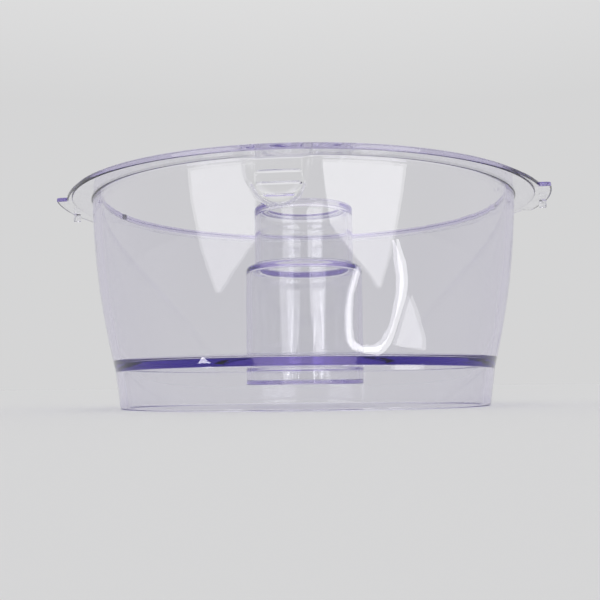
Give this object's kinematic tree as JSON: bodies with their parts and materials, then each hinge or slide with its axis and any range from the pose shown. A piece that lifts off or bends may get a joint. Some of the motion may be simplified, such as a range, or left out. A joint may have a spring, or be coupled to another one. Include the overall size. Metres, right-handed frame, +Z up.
{
  "type": "food processor work bowl",
  "caption": "Clear, flared food processor bowl that nests in a larger bowl, with a stepped hollow hub, a flat rim with side ears and a ribbed thumb grip.",
  "frame": {"origin": "on the bowl's axis, in the plane of the base edge that it stands on", "axes": "+Z up along the bowl's axis; the two ears lie on +X and -X; the thumb grip faces -Y"},
  "size_m": [0.2316, 0.217, 0.098],
  "materials": {
    "clear_plastic": "polished, clear, with a faint violet tint that deepens where it is seen edge-on"
  },
  "bodies": {
    "root": {"base_skirt": "clear_plastic", "floor_plate": "clear_plastic", "side_wall": "clear_plastic", "thumb_grip": "clear_plastic", "grip_ribs": "clear_plastic", "rim_flange": "clear_plastic", "left_ear": "clear_plastic", "right_ear": "clear_plastic", "left_ear_stub": "clear_plastic", "right_ear_stub": "clear_plastic", "hub_foot": "clear_plastic", "hub_foot_plate": "clear_plastic", "hub_lower_tube": "clear_plastic", "hub_shoulder": "clear_plastic", "hub_upper_tube": "clear_plastic", "hub_top_ring": "clear_plastic"}
  },
  "joints": []
}
